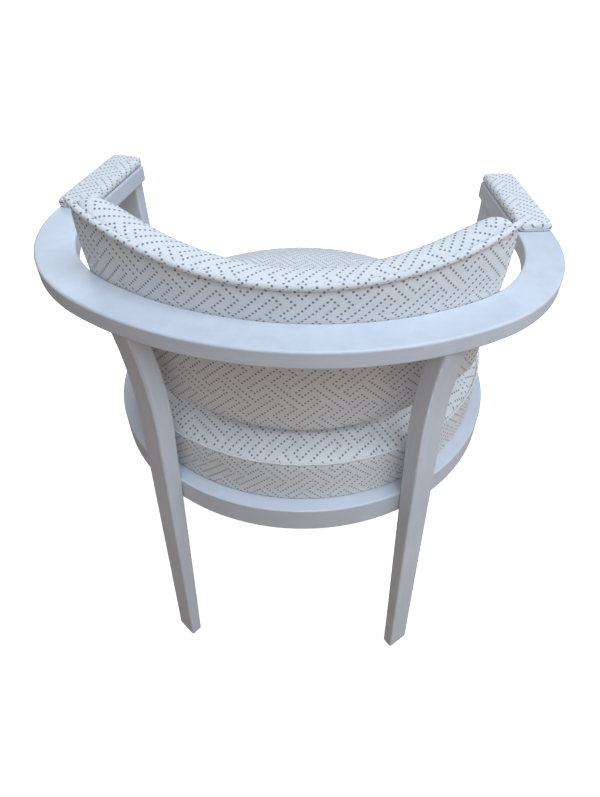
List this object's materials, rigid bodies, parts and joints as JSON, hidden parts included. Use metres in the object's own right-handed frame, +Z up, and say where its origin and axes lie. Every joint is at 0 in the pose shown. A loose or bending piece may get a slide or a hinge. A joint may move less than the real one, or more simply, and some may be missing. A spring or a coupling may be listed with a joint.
{
  "type": "accent chair",
  "caption": "Low horseshoe-back armchair with a flat curved crest rail, round upholstered seat, raked curved back pad and padded arm ends on a painted wooden frame.",
  "frame": {"origin": "on the floor, at the middle of the chair's width and depth", "axes": "+Z up, the chair faces -Y, +X is the side at the left of a viewer behind it"},
  "size_m": [0.626, 0.5729, 0.7321],
  "materials": {
    "painted_wood": "satin pale grey-white paint",
    "upholstery": "flat-woven cloth with a dotted fret pattern",
    "plywood": "bare plywood",
    "dowel": "bare beech",
    "screw": "zinc plated",
    "glide": "matt",
    "dust_cloth": "thin black cloth"
  },
  "bodies": {
    "root": {"crest_back": "painted_wood", "crest_arm_left": "painted_wood", "crest_arm_right": "painted_wood", "rear_leg_left": "painted_wood", "rear_leg_right": "painted_wood", "front_leg_left": "painted_wood", "front_leg_right": "painted_wood", "seat_rail_front": "painted_wood", "seat_rail_rear": "painted_wood", "seat_rail_left": "painted_wood", "seat_rail_right": "painted_wood", "seat_cushion": "upholstery", "back_cushion": "upholstery", "outside_back": "upholstery", "back_welt": "upholstery", "arm_pad_left": "upholstery", "arm_pad_right": "upholstery", "seat_board": "plywood", "back_shell": "plywood", "arm_board_left": "plywood", "arm_board_right": "plywood", "crest_dowels": "dowel", "leg_dowels": "dowel", "seat_rail_dowels": "dowel", "leg_screws": "screw", "seat_screws": "screw", "back_screws": "screw", "arm_screws": "screw", "foot_glides": "glide", "dust_cover": "dust_cloth"}
  },
  "joints": []
}
